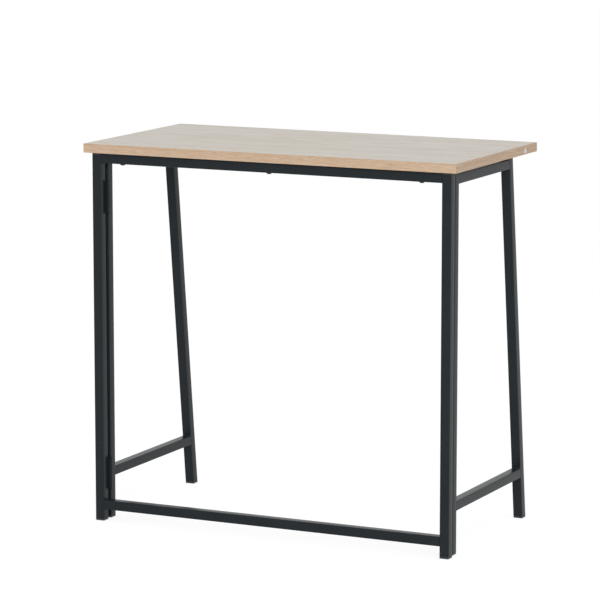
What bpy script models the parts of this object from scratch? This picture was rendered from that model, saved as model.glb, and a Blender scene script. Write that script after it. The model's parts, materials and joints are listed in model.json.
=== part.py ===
"""A folding desk: an oak-effect top hinged to a square-tube frame, with two side frames that fold in.

Metres, +Z up. X runs along the main frame, Y from the main frame towards the slanted legs.
The desk stands on Z = 0, with the middle of its footprint at the origin.
"""

import math

import bmesh
import bpy
from mathutils import Matrix, Vector

MM = 0.001

# Play between pieces, and the glue line under the edge bands
FIT = 0.3 * MM
GLUE = 0.1 * MM

# Worktop: an 18 mm board with a thin band on each edge
TOP_WIDTH = 800 * MM
TOP_DEPTH = 410 * MM
TOP_THICKNESS = 18 * MM
DESK_HEIGHT = 763 * MM
BAND_THICKNESS = 1.0 * MM
BAND_ROUNDING = 0.4 * MM

# Square steel tube, the same for the whole frame
TUBE = 19 * MM
TUBE_WALL = 1.2 * MM
TUBE_CORNER = 1.6 * MM
BORE_CORNER = 0.6 * MM
CORNER_STEPS = 2

# Main frame: two posts with a rail at the top and one near the floor, inside the edges of the top
SIDE_OVERHANG = 14 * MM
FRONT_OVERHANG = 10 * MM
BOTTOM_RAIL_CLEARANCE = 23.5 * MM

# Side frames: a post on the hinges, a slanted leg, and two rails between them
SIDE_INSET = 2.5 * MM
SIDE_POST_LIFT = 1.5 * MM
SIDE_RAIL_DROP = 7 * MM
LOWER_RAIL_CLEARANCE = 86 * MM

# Front face of the slanted leg, ahead of the back edge of the top
LEG_TOP_AHEAD = 105 * MM
LEG_FOOT_AHEAD = 16 * MM

# Plastic plugs in the tube ends
FOOT_HEAD = 4 * MM
PLUG_HEAD = 3 * MM
PLUG_SPIGOT = 14 * MM
PLUG_CHAMFER = 0.8 * MM

# Side hinges: two welded butt hinges for each side frame, with their axis inside the side post's inner face
SIDE_HINGE_LENGTH = 65 * MM
SIDE_HINGE_RISE = 94.5 * MM
SIDE_HINGE_DROP = 91 * MM
SIDE_HINGE_INSIDE = 2 * MM
SIDE_LEAF = 1.5 * MM
SIDE_PIN = 3.4 * MM

# Top hinges: three thin butt hinges between the top rail and the board
TOP_HINGE_LENGTH = 42 * MM
TOP_HINGE_FROM_SIDE = 64 * MM
TOP_LEAF = 1.0 * MM
TOP_LEAF_PLAY = 0.3 * MM
TOP_PIN = 2.4 * MM

# On every hinge: how far a leaf stops short of its tube's far edge, and the pin's head
LEAF_MARGIN = 3 * MM
PIN_HEAD = 1.2 * MM
PIN_HEAD_LIP = 0.8 * MM

# Bolts up through the top rail, and wood screws up into the board
BOLT = 6 * MM
BOLT_HEAD = 11 * MM
BOLT_HEAD_HEIGHT = 3.2 * MM
SCREW = 3.5 * MM
SCREW_HEAD = 6.2 * MM
SCREW_LENGTH = 13 * MM
SCREW_FROM_LEAF_END = 8 * MM

# Round white cap let into the right edge of the board, near its back corner
CAP = 11 * MM
CAP_THICKNESS = 1.5 * MM
CAP_STEM = 6 * MM
CAP_STEM_LENGTH = 9 * MM
CAP_FROM_BACK = 61 * MM
CAP_FROM_UNDERSIDE = 6.8 * MM

# Facets of turned pieces, hinge barrels and bolt heads
TURNED_STEPS = 14
BARREL_STEPS = 16
DOME_STEPS = 4

# How far a cutter passes its work, and how near two points are one
OVERCUT = 2 * MM
WELD = 0.001 * MM

# Hinge barrels are a leaf rolled round the pin, and a side barrel sets the gap between the posts
SIDE_BARREL = SIDE_PIN + 2 * SIDE_LEAF
TOP_BARREL = TOP_PIN + 2 * TOP_LEAF
POST_GAP = SIDE_BARREL
SIDE_LEAF_PLAY = POST_GAP - 2 * (SIDE_LEAF + FIT)

# Heights
UNDERSIDE = DESK_HEIGHT - TOP_THICKNESS
RAIL_TOP = UNDERSIDE - TOP_LEAF_PLAY - TOP_LEAF - FIT
SIDE_TOP = UNDERSIDE - SIDE_RAIL_DROP
LEG_TOP = UNDERSIDE - FIT

# Depths behind the front face of the main frame
SIDE_FRONT = TUBE + POST_GAP
SIDE_BACK = SIDE_FRONT + TUBE
BOARD_FRONT = -FRONT_OVERHANG
BOARD_BACK = BOARD_FRONT + TOP_DEPTH
LEG_FOOT_FRONT = BOARD_BACK - LEG_FOOT_AHEAD

# Slanted leg: its slope, its depth on a level cut, and its front face at a height
LEG_SLOPE = (LEG_FOOT_AHEAD - LEG_TOP_AHEAD) / UNDERSIDE
LEG_DEPTH = TUBE * math.hypot(1.0, LEG_SLOPE)


def leg_front(height):
    return LEG_FOOT_FRONT + LEG_SLOPE * height


# The front face of the main frame, with the footprint centred on the origin
FOOT_BACK = leg_front(PLUG_CHAMFER) + LEG_DEPTH
FRAME_FRONT = -(BOARD_FRONT + max(BOARD_BACK, FOOT_BACK)) / 2

# Width over the posts, and places along it
FRAME_WIDTH = TOP_WIDTH - 2 * SIDE_OVERHANG
POST_X = (FRAME_WIDTH - TUBE) / 2
SIDE_X = POST_X - SIDE_INSET
TOP_HINGE_X = FRAME_WIDTH / 2 - TOP_HINGE_FROM_SIDE

# Hinge axes, from the front face of the main frame
SIDE_AXIS_X = SIDE_X - TUBE / 2 - SIDE_HINGE_INSIDE
SIDE_AXIS_Y = TUBE + POST_GAP / 2
TOP_AXIS_Y = -TOP_BARREL / 2 - FIT
TOP_AXIS_Z = UNDERSIDE - TOP_LEAF_PLAY / 2

# How far the leaves reach from their axes
SIDE_LEAF_REACH = FRAME_WIDTH / 2 - LEAF_MARGIN - SIDE_AXIS_X
TOP_LEAF_REACH = TUBE - LEAF_MARGIN - TOP_AXIS_Y


# Scene helpers
def new_collection(name):
    collection = bpy.data.collections.new(name)
    bpy.context.scene.collection.children.link(collection)
    return collection


def finish(name, colour, roughness, metallic=0.0):
    """A Principled material from a linear colour."""
    material = bpy.data.materials.new(name)
    material.use_nodes = True
    shader = material.node_tree.nodes["Principled BSDF"]
    shader.inputs["Base Color"].default_value = (*colour, 1.0)
    shader.inputs["Roughness"].default_value = roughness
    shader.inputs["Metallic"].default_value = metallic
    material.diffuse_color = (*colour, 1.0)
    return material


for old in list(bpy.data.objects):
    bpy.data.objects.remove(old, do_unlink=True)

desk = new_collection("folding_desk")
cutters = new_collection("cutters")
cutters.hide_render = True

powder_coat = finish("charcoal_powder_coat", (0.030, 0.035, 0.038), 0.5)
black_plastic = finish("black_plastic", (0.018, 0.018, 0.019), 0.45)
oak_melamine = finish("oak_melamine", (0.58, 0.52, 0.44), 0.5)
oak_band = finish("oak_edge_band", (0.60, 0.42, 0.28), 0.5)
zinc_steel = finish("zinc_plated_steel", (0.55, 0.56, 0.58), 0.35, 1.0)
black_steel = finish("blackened_steel", (0.02, 0.02, 0.022), 0.4, 0.6)
white_plastic = finish("white_plastic", (0.80, 0.80, 0.78), 0.4)


def group(name, parent, at):
    """An empty on a joint's axis, which its pieces are parented to."""
    empty = bpy.data.objects.new(name, None)
    desk.objects.link(empty)
    empty.parent = parent
    empty.location = at
    return empty


main_frame = group("main_frame", None, (0.0, FRAME_FRONT, 0.0))
side_frames = {
    -1: group("left_side_frame", main_frame, (-SIDE_AXIS_X, SIDE_AXIS_Y, 0.0)),
    1: group("right_side_frame", main_frame, (SIDE_AXIS_X, SIDE_AXIS_Y, 0.0)),
}
tabletop = group("tabletop", main_frame, (0.0, TOP_AXIS_Y, TOP_AXIS_Z))
SIDE_NAMES = {-1: "left", 1: "right"}


def place(item, owner, at):
    """Parents an object, at a place measured from the front face of the main frame."""
    item.parent = owner
    item.location = Vector(at) if owner is main_frame else Vector(at) - owner.location


def add_part(name, mesh, material, owner, at):
    part = bpy.data.objects.new(name, mesh)
    mesh.materials.clear()
    mesh.materials.append(material)
    desk.objects.link(part)
    place(part, owner, at)
    return part


def add_cutter(name, mesh, owner, at):
    cutter = bpy.data.objects.new(name, mesh)
    cutter.hide_render = True
    cutter.display_type = "WIRE"
    cutters.objects.link(cutter)
    place(cutter, owner, at)
    return cutter


def cut(part, cutter):
    boolean = part.modifiers.new("cut_" + cutter.name, "BOOLEAN")
    boolean.operation = "DIFFERENCE"
    boolean.solver = "EXACT"
    boolean.object = cutter


# Mesh helpers
def mesh_of(bm, name):
    bmesh.ops.recalc_face_normals(bm, faces=bm.faces)
    mesh = bpy.data.meshes.new(name)
    bm.to_mesh(mesh)
    bm.free()
    return mesh


def box(name, size):
    bm = bmesh.new()
    bmesh.ops.create_cube(bm, size=1.0)
    bmesh.ops.scale(bm, vec=size, verts=bm.verts)
    return mesh_of(bm, name)


def cylinder(name, diameter, length):
    bm = bmesh.new()
    bmesh.ops.create_cone(
        bm,
        cap_ends=True,
        segments=TURNED_STEPS,
        radius1=diameter / 2,
        radius2=diameter / 2,
        depth=length,
    )
    return mesh_of(bm, name)


def arc(centre, radius, start, end, steps):
    """Points on a circle from one angle to another, both ends included."""
    angles = [start + (end - start) * i / steps for i in range(steps + 1)]
    return [(centre[0] + radius * math.cos(a), centre[1] + radius * math.sin(a)) for a in angles]


def circle(radius, steps):
    return arc((0.0, 0.0), radius, 0.0, 2 * math.pi, steps)[:-1]


def rounded_rectangle(width, depth, radius):
    quarter = math.pi / 2
    points = []
    for i, (sx, sy) in enumerate(((1, 1), (-1, 1), (-1, -1), (1, -1))):
        centre = (sx * (width / 2 - radius), sy * (depth / 2 - radius))
        points += arc(centre, radius, i * quarter, (i + 1) * quarter, CORNER_STEPS)
    return points


def extruded(name, outlines, length):
    """A flat outline with its holes, extruded along Z about its middle, as a welded mesh."""
    curve = bpy.data.curves.new(name, "CURVE")
    curve.dimensions = "2D"
    curve.fill_mode = "BOTH"
    curve.extrude = length / 2
    for outline in outlines:
        spline = curve.splines.new("POLY")
        spline.points.add(len(outline) - 1)
        for point, (x, y) in zip(spline.points, outline):
            point.co = (x, y, 0.0, 1.0)
        spline.use_cyclic_u = True
    guide = bpy.data.objects.new(name, curve)
    cutters.objects.link(guide)
    graph = bpy.context.evaluated_depsgraph_get()
    flat = bpy.data.meshes.new_from_object(guide.evaluated_get(graph))
    bpy.data.objects.remove(guide, do_unlink=True)
    bpy.data.curves.remove(curve)
    bm = bmesh.new()
    bm.from_mesh(flat)
    bpy.data.meshes.remove(flat)
    bmesh.ops.remove_doubles(bm, verts=bm.verts, dist=WELD)
    return mesh_of(bm, name)


def profile_mesh(name, profile):
    """A half section of (radius, height) points, which run from the top of a turned piece to its bottom."""
    mesh = bpy.data.meshes.new(name)
    edges = [(i, i + 1) for i in range(len(profile) - 1)]
    mesh.from_pydata([(radius, 0.0, height) for radius, height in profile], edges, [])
    return mesh


def turn(piece, axis):
    """Spins a half section about its own Z, and points that Z along an axis of the desk."""
    screw = piece.modifiers.new("turn", "SCREW")
    screw.steps = TURNED_STEPS
    screw.render_steps = TURNED_STEPS
    screw.use_merge_vertices = True
    screw.merge_threshold = WELD
    piece.rotation_euler = axis.to_euler()
    return piece


# The ways a piece that is drawn upright can be laid: as drawn, along X, along Y, and as a leaf on the rail
ALONG_Z = Matrix.Identity(4)
ALONG_X = Matrix.Rotation(math.radians(90), 4, "Y")
ALONG_Y = Matrix.Rotation(math.radians(-90), 4, "X")
ON_RAIL = Matrix(((0, 0, 1, 0), (1, 0, 0, 0), (0, 1, 0, 0), (0, 0, 0, 1)))


# Tubes and plugs
def tube(name, length, depth=TUBE):
    """A length of square tube, upright about its middle."""
    wall = TUBE_WALL * depth / TUBE
    outer = rounded_rectangle(TUBE, depth, TUBE_CORNER)
    bore = rounded_rectangle(TUBE - 2 * TUBE_WALL, depth - 2 * wall, BORE_CORNER)
    return extruded(name, (outer, bore), length)


def lean(mesh, slope):
    """Leans an upright mesh along Y, with its level faces kept level."""
    shear = Matrix.Identity(4)
    shear[1][2] = slope
    mesh.transform(shear)


def upright(name, owner, x, y, bottom, top):
    return add_part(name, tube(name, top - bottom), powder_coat, owner, (x, y, (bottom + top) / 2))


def slanted_leg(name, owner, x, bottom, top):
    middle = (bottom + top) / 2
    mesh = tube(name, top - bottom, LEG_DEPTH)
    lean(mesh, LEG_SLOPE)
    return add_part(name, mesh, powder_coat, owner, (x, leg_front(middle) + LEG_DEPTH / 2, middle))


def cross_rail(name, height):
    """A rail of the main frame, between the two posts."""
    mesh = tube(name, FRAME_WIDTH - 2 * TUBE - 2 * FIT)
    mesh.transform(ALONG_X)
    return add_part(name, mesh, powder_coat, main_frame, (0.0, TUBE / 2, height))


def side_rail(name, owner, x, height):
    """A rail from a side post to the slanted leg, with its back end cut to the leg's slope."""
    front = SIDE_BACK + FIT
    back = leg_front(height) - FIT
    mesh = tube(name, back - front)
    mesh.transform(ALONG_Y)
    for vertex in mesh.vertices:
        if vertex.co.y > 0.0:
            vertex.co.y += LEG_SLOPE * vertex.co.z
    return add_part(name, mesh, powder_coat, owner, (x, (front + back) / 2, height))


def plug(name, head, owner, at, depth=TUBE, slope=0.0, upwards=True):
    """A plug for a tube end: a head as wide as the tube and a spigot inside it, placed by its outer face."""
    spigot = 1 - 2 * (TUBE_WALL + FIT) / TUBE
    bm = bmesh.new()
    bmesh.ops.create_cube(bm, size=1.0)
    bmesh.ops.scale(bm, vec=(TUBE, depth, head), verts=bm.verts)
    bmesh.ops.translate(bm, vec=(0.0, 0.0, head / 2), verts=bm.verts)
    corners = [edge for edge in bm.edges if edge.verts[0].co.xy == edge.verts[1].co.xy]
    bmesh.ops.bevel(
        bm, geom=corners, offset=TUBE_CORNER, segments=CORNER_STEPS, profile=0.5, affect="EDGES"
    )
    outer = min(bm.faces, key=lambda face: face.calc_center_median().z)
    bmesh.ops.bevel(bm, geom=outer.edges, offset=PLUG_CHAMFER, segments=1, profile=0.5, affect="EDGES")
    inner = max(bm.faces, key=lambda face: face.calc_center_median().z)
    for narrowing, rise in ((spigot, 0.0), (1.0, PLUG_SPIGOT)):
        inner = bmesh.ops.extrude_discrete_faces(bm, faces=[inner])["faces"][0]
        bmesh.ops.scale(bm, vec=(narrowing, narrowing, 1.0), verts=inner.verts)
        bmesh.ops.translate(bm, vec=(0.0, 0.0, rise), verts=inner.verts)
    if not upwards:
        bmesh.ops.rotate(bm, matrix=Matrix.Rotation(math.pi, 3, "Y"), verts=bm.verts)
    mesh = mesh_of(bm, name)
    lean(mesh, slope)
    return add_part(name, mesh, black_plastic, owner, at)


# Butt hinges
def leaf_mesh(name, hinge, near, far, direction):
    """A leaf in section: a strip between two offsets from the axis, rolled round the pin's bore."""
    radius = hinge["barrel"] / 2
    start = math.asin(far / radius)
    end = math.asin(near / radius) + 2 * math.pi
    roll = arc((0.0, 0.0), radius, start, end, BARREL_STEPS)
    strip = [(hinge["reach"], near), (hinge["reach"], far)]
    outline = [(direction * x, y) for x, y in strip + roll]
    return extruded(name, (outline, circle(hinge["pin"] / 2 + FIT, BARREL_STEPS)), hinge["length"])


def hinge_leaf(name, hinge, near, far, direction, gaps, owner, at):
    """A leaf with gaps in its barrel, each given by its two ends, for the other leaf's knuckles."""
    mesh = leaf_mesh(name, hinge, near, far, direction)
    mesh.transform(hinge["lay"])
    piece = add_part(name, mesh, powder_coat, owner, at)
    for i, (low, high) in enumerate(gaps):
        gap = cylinder(f"{name}_gap_{i}", hinge["barrel"] + 2 * FIT, high - low)
        gap.transform(Matrix.Translation((0.0, 0.0, (low + high) / 2)))
        gap.transform(hinge["lay"])
        cut(piece, add_cutter(gap.name, gap, owner, at))
    return piece


def hinge_pin(name, hinge, at):
    radius = hinge["pin"] / 2
    lip = radius + PIN_HEAD_LIP
    end = hinge["length"] / 2
    head = end + FIT
    profile = [
        (0.0, head + PIN_HEAD),
        (radius, head + PIN_HEAD),
        (lip, head + PIN_HEAD / 2),
        (lip, head),
        (radius, head),
        (radius, -end),
        (0.0, -end),
    ]
    return turn(add_part(name, profile_mesh(name, profile), black_steel, main_frame, at), hinge["lay"])


def butt_hinge(name, hinge, fixed, moving, owner, direction, at):
    """Two leaves on a pin. The fixed leaf has the knuckles at the ends, the moving leaf the middle one."""
    near = hinge["play"] / 2
    far = near + hinge["leaf"]
    end = hinge["length"] / 2 + OVERCUT
    inner = hinge["length"] / 6 - FIT / 2
    outer = hinge["length"] / 6 + FIT / 2
    middle = ((-outer, outer),)
    ends = ((-end, -inner), (inner, end))
    fixed_leaf = hinge_leaf(f"{name}_{fixed}", hinge, -far, -near, direction, middle, main_frame, at)
    moving_leaf = hinge_leaf(f"{name}_{moving}", hinge, near, far, direction, ends, owner, at)
    hinge_pin(f"{name}_pin", hinge, at)
    return fixed_leaf, moving_leaf


SIDE_HINGE = {
    "length": SIDE_HINGE_LENGTH,
    "leaf": SIDE_LEAF,
    "play": SIDE_LEAF_PLAY,
    "pin": SIDE_PIN,
    "barrel": SIDE_BARREL,
    "reach": SIDE_LEAF_REACH,
    "lay": ALONG_Z,
}
TOP_HINGE = {
    "length": TOP_HINGE_LENGTH,
    "leaf": TOP_LEAF,
    "play": TOP_LEAF_PLAY,
    "pin": TOP_PIN,
    "barrel": TOP_BARREL,
    "reach": TOP_LEAF_REACH,
    "lay": ON_RAIL,
}

# Main frame
for side, word in SIDE_NAMES.items():
    post_x = side * POST_X
    post_top = RAIL_TOP - PLUG_HEAD - FIT
    upright(f"main_post_{word}", main_frame, post_x, TUBE / 2, FOOT_HEAD + FIT, post_top)
    plug(f"main_foot_{word}", FOOT_HEAD, main_frame, (post_x, TUBE / 2, 0.0))
    plug(f"main_post_cap_{word}", PLUG_HEAD, main_frame, (post_x, TUBE / 2, RAIL_TOP), upwards=False)
top_rail = cross_rail("main_top_rail", RAIL_TOP - TUBE / 2)
cross_rail("main_bottom_rail", BOTTOM_RAIL_CLEARANCE + TUBE / 2)

# Side frames
for side, word in SIDE_NAMES.items():
    frame = side_frames[side]
    x = side * SIDE_X
    post_y = SIDE_FRONT + TUBE / 2
    post_bottom = SIDE_POST_LIFT + FOOT_HEAD + FIT
    upright(f"{word}_side_post", frame, x, post_y, post_bottom, SIDE_TOP - PLUG_HEAD - FIT)
    plug(f"{word}_side_post_foot", FOOT_HEAD, frame, (x, post_y, SIDE_POST_LIFT))
    plug(f"{word}_side_post_cap", PLUG_HEAD, frame, (x, post_y, SIDE_TOP), upwards=False)
    side_rail(f"{word}_side_top_rail", frame, x, SIDE_TOP - TUBE / 2)
    side_rail(f"{word}_side_lower_rail", frame, x, LOWER_RAIL_CLEARANCE + TUBE / 2)
    slanted_leg(f"{word}_slanted_leg", frame, x, FOOT_HEAD + FIT, LEG_TOP - PLUG_HEAD - FIT)
    for name, head, height, upwards in (
        ("leg_foot", FOOT_HEAD, 0.0, True),
        ("leg_cap", PLUG_HEAD, LEG_TOP, False),
    ):
        at = (x, leg_front(height) + LEG_DEPTH / 2, height)
        plug(f"{word}_{name}", head, frame, at, LEG_DEPTH, LEG_SLOPE, upwards)
    for height, level in ((SIDE_HINGE_RISE, "lower"), (UNDERSIDE - SIDE_HINGE_DROP, "upper")):
        at = (side * SIDE_AXIS_X, SIDE_AXIS_Y, height)
        butt_hinge(f"{word}_{level}_hinge", SIDE_HINGE, "frame_leaf", "side_leaf", frame, side, at)

# Worktop board and its edge bands
BOARD_Z = UNDERSIDE + TOP_THICKNESS / 2
BOARD_Y = (BOARD_FRONT + BOARD_BACK) / 2
CORE_WIDTH = TOP_WIDTH - 2 * (BAND_THICKNESS + GLUE)
CORE_DEPTH = TOP_DEPTH - 2 * (BAND_THICKNESS + GLUE)
BAND_OUT_X = (TOP_WIDTH - BAND_THICKNESS) / 2
BAND_OUT_Y = (TOP_DEPTH - BAND_THICKNESS) / 2

core_mesh = box("worktop_board", (CORE_WIDTH, CORE_DEPTH, TOP_THICKNESS))
board = add_part("worktop_board", core_mesh, oak_melamine, tabletop, (0.0, BOARD_Y, BOARD_Z))


def edge_band(name, width, depth, x, y):
    mesh = box(name, (width, depth, TOP_THICKNESS))
    band = add_part(name, mesh, oak_band, tabletop, (x, BOARD_Y + y, BOARD_Z))
    rounding = band.modifiers.new("rounding", "BEVEL")
    rounding.width = BAND_ROUNDING
    rounding.segments = CORNER_STEPS
    return band


edge_band("worktop_band_front", TOP_WIDTH, BAND_THICKNESS, 0.0, -BAND_OUT_Y)
edge_band("worktop_band_back", TOP_WIDTH, BAND_THICKNESS, 0.0, BAND_OUT_Y)
edge_band("worktop_band_left", BAND_THICKNESS, CORE_DEPTH, -BAND_OUT_X, 0.0)
right_band = edge_band("worktop_band_right", BAND_THICKNESS, CORE_DEPTH, BAND_OUT_X, 0.0)

# White cap, flush in the right edge
cap_at = (TOP_WIDTH / 2, BOARD_BACK - CAP_FROM_BACK, UNDERSIDE + CAP_FROM_UNDERSIDE)
cap_end = -CAP_THICKNESS - CAP_STEM_LENGTH
cap_profile = [
    (0.0, 0.0),
    (CAP / 2 - BAND_ROUNDING, 0.0),
    (CAP / 2, -BAND_ROUNDING),
    (CAP / 2, -CAP_THICKNESS),
    (CAP_STEM / 2, -CAP_THICKNESS),
    (CAP_STEM / 2, cap_end),
    (0.0, cap_end),
]
cap_hole_profile = [
    (0.0, OVERCUT),
    (CAP / 2 + FIT, OVERCUT),
    (CAP / 2 + FIT, -CAP_THICKNESS - FIT),
    (CAP_STEM / 2 + FIT, -CAP_THICKNESS - FIT),
    (CAP_STEM / 2 + FIT, cap_end - FIT),
    (0.0, cap_end - FIT),
]
cap_mesh = profile_mesh("worktop_edge_cap", cap_profile)
turn(add_part("worktop_edge_cap", cap_mesh, white_plastic, tabletop, cap_at), ALONG_X)
cap_hole_mesh = profile_mesh("worktop_cap_hole", cap_hole_profile)
cap_hole = turn(add_cutter("worktop_cap_hole", cap_hole_mesh, tabletop, cap_at), ALONG_X)
cut(board, cap_hole)
cut(right_band, cap_hole)


# Top hinges, let into the underside of the board, with their bolts and screws
def pocket(name, x, length, front, back, top):
    """A recess in the underside of the board."""
    bottom = UNDERSIDE - OVERCUT
    mesh = box(name, (length, back - front, top - bottom))
    cut(board, add_cutter(name, mesh, tabletop, (x, (front + back) / 2, (top + bottom) / 2)))


def rail_bolt(name, x, rail_leaf):
    """A bolt up through the rail into the hinge's rail leaf, with its round head below the rail."""
    seat = RAIL_TOP - TUBE - FIT
    end = RAIL_TOP + TOP_LEAF - seat
    radius = BOLT / 2
    dome = arc((0.0, 0.0), 1.0, 0.0, -math.pi / 2, DOME_STEPS)[:-1]
    profile = [(0.0, end), (radius, end), (radius, 0.0)]
    profile += [(BOLT_HEAD / 2 * across, BOLT_HEAD_HEIGHT * down) for across, down in dome]
    profile.append((0.0, -BOLT_HEAD_HEIGHT))
    turn(add_part(name, profile_mesh(name, profile), black_steel, main_frame, (x, TUBE / 2, seat)), ALONG_Z)
    hole = cylinder(name + "_hole", BOLT + 2 * FIT, TUBE + 2 * (TOP_LEAF + OVERCUT))
    hole_at = (x, TUBE / 2, RAIL_TOP - TUBE / 2)
    hole_cutter = add_cutter(hole.name, hole, main_frame, hole_at)
    cut(top_rail, hole_cutter)
    cut(rail_leaf, hole_cutter)


def board_screw(name, x, board_leaf):
    """A countersunk screw up through the hinge's board leaf into the board, flush with the leaf."""
    sink = (SCREW_HEAD - SCREW) / 2
    radius = SCREW / 2
    profile = [
        (0.0, SCREW_LENGTH),
        (radius, SCREW_LENGTH - SCREW),
        (radius, sink),
        (SCREW_HEAD / 2, 0.0),
        (0.0, 0.0),
    ]
    hole_profile = [
        (0.0, SCREW_LENGTH + FIT),
        (radius + FIT, SCREW_LENGTH + FIT),
        (radius + FIT, sink),
        (SCREW_HEAD / 2 + FIT, 0.0),
        (SCREW_HEAD / 2 + FIT, -OVERCUT),
        (0.0, -OVERCUT),
    ]
    at = (x, TUBE / 2, UNDERSIDE)
    turn(add_part(name, profile_mesh(name, profile), zinc_steel, tabletop, at), ALONG_Z)
    hole = turn(add_cutter(name + "_hole", profile_mesh(name + "_hole", hole_profile), tabletop, at), ALONG_Z)
    cut(board, hole)
    cut(board_leaf, hole)


LEAF_ROOM = TOP_HINGE_LENGTH + 2 * FIT
LEAF_ROOM_BACK = TOP_AXIS_Y + TOP_LEAF_REACH + FIT
LEAF_ROOM_TOP = UNDERSIDE + TOP_LEAF + FIT
PIN_ROOM = TOP_HINGE_LENGTH + 2 * (PIN_HEAD + 2 * FIT)
BARREL_ROOM = TOP_BARREL / 2 + FIT
BARREL_ROOM_FRONT = TOP_AXIS_Y - BARREL_ROOM
BARREL_ROOM_BACK = TOP_AXIS_Y + BARREL_ROOM
BARREL_ROOM_TOP = TOP_AXIS_Z + BARREL_ROOM
SCREW_OUT = TOP_HINGE_LENGTH / 2 - SCREW_FROM_LEAF_END

for where, x in (("left", -TOP_HINGE_X), ("middle", 0.0), ("right", TOP_HINGE_X)):
    name = f"top_{where}_hinge"
    at = (x, TOP_AXIS_Y, TOP_AXIS_Z)
    rail_leaf, board_leaf = butt_hinge(name, TOP_HINGE, "rail_leaf", "board_leaf", tabletop, 1, at)
    pocket(f"{name}_leaf_pocket", x, LEAF_ROOM, TOP_AXIS_Y, LEAF_ROOM_BACK, LEAF_ROOM_TOP)
    pocket(f"{name}_barrel_pocket", x, PIN_ROOM, BARREL_ROOM_FRONT, BARREL_ROOM_BACK, BARREL_ROOM_TOP)
    rail_bolt(f"{name}_bolt", x, rail_leaf)
    for number, offset in ((1, -SCREW_OUT), (2, SCREW_OUT)):
        board_screw(f"{name}_screw_{number}", x + offset, board_leaf)
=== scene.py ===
# %% [markdown]
# # Dressing a folding desk
# The desk is an oak-effect worktop on a frame of square steel tube. The main frame stands at the front, and
# two side frames with slanted back legs are hinged to it. Its solids already have the right sizes and
# joints, so this lesson only gives them their looks: finer meshes, finishes, a camera and light.

# %% Load the desk as a fixed frame
import json
import math

import bmesh
import bpy
from mathutils import Matrix, Vector


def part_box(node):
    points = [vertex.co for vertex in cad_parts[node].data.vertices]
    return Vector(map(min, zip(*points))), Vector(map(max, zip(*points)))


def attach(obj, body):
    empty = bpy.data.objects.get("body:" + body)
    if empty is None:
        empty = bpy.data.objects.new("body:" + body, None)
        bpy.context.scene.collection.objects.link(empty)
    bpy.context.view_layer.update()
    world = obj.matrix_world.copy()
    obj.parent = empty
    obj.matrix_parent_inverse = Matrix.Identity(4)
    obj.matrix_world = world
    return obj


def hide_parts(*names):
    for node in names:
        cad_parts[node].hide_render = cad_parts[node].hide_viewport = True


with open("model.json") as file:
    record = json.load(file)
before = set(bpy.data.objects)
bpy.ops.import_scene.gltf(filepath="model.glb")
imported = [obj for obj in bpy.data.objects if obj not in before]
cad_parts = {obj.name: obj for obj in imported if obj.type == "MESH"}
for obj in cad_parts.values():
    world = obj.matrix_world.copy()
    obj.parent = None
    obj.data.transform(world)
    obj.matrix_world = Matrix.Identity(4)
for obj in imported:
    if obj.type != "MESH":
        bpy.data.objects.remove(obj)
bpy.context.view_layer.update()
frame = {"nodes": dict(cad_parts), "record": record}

MM = 0.001
nodes = frame["nodes"]
behaviour = frame["record"]["behaviour"]
body_of_node = {node: body for body, members in behaviour["bodies"].items() for node in members}
slot_of_node = {part["node"]: part["material_slot"] for part in frame["record"]["subparts"]}

# %% [markdown]
# ## Camera
# The portrait was taken from far off with a long lens, a little above the worktop and to the right of the
# desk. Blender's camera looks down its own -Z axis, so it is first tipped up to the horizon, then down by
# the tilt, and last turned about the vertical. A target to track would do too, but two angles can be set
# exactly as they were solved from the picture.

# %% Set the camera
# Places are in metres and angles in degrees.
LENS_MM = 194.4
SENSOR_MM = 36.0
CAMERA_PLACE = (2.7532, -5.7612, 1.4834)
CAMERA_TILT_DOWN = 9.216
CAMERA_TURN_LEFT = 25.736

camera_data = bpy.data.cameras.new("portrait_camera")
camera_data.lens = LENS_MM
camera_data.sensor_width = SENSOR_MM
camera = bpy.data.objects.new("portrait_camera", camera_data)
camera.location = CAMERA_PLACE
camera.rotation_euler = (math.radians(90 - CAMERA_TILT_DOWN), 0.0, math.radians(CAMERA_TURN_LEFT))
bpy.context.scene.collection.objects.link(camera)
bpy.context.scene.camera = camera
print("camera", tuple(round(value, 2) for value in camera.location))

# %% [markdown]
# ## Colours and nodes
# Colours are written as sRGB hex values, the way a colour picker shows them. Shaders work in linear light,
# so one function turns a hex value into linear numbers. Another small function adds a node to a tree: its
# settings, and for each input either a value or the output that feeds it. A material's own shader is filled
# in the same way.

# %% Colour and node helpers
# Sockets of the Mix node when it mixes colours: its two inputs and its output.
MIX_A = 6
MIX_B = 7
MIX_COLOUR = 2
WHITE = "#ffffff"


def linear(hex_colour):
    """An sRGB hex colour as linear red, green, blue and alpha."""
    channels = [int(hex_colour[i:i + 2], 16) / 255 for i in (1, 3, 5)]
    bent = [c / 12.92 if c <= 0.04045 else ((c + 0.055) / 1.055) ** 2.4 for c in channels]
    return (*bent, 1.0)


def fill_inputs(tree, node, inputs):
    """Fills a node's inputs with values, or with other nodes' outputs."""
    for key, value in inputs.items():
        if isinstance(value, bpy.types.NodeSocket):
            tree.links.new(value, node.inputs[key])
        else:
            node.inputs[key].default_value = value


def add_node(tree, kind, settings, inputs):
    """Adds one node with its settings and inputs."""
    node = tree.nodes.new(kind)
    for name, value in settings.items():
        setattr(node, name, value)
    fill_inputs(tree, node, inputs)
    return node


def new_finish(name, roughness, **constants):
    """A material with one Principled shader, and the place on the object in metres to paint by."""
    material = bpy.data.materials.new(name)
    material.use_nodes = True
    tree = material.node_tree
    shader = tree.nodes["Principled BSDF"]
    fill_inputs(tree, shader, {"Roughness": roughness, **constants})
    spot = add_node(tree, "ShaderNodeTexCoord", {}, {}).outputs["Object"]
    return material, tree, shader, spot


print("white is", [round(value, 2) for value in linear(WHITE)])

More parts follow.
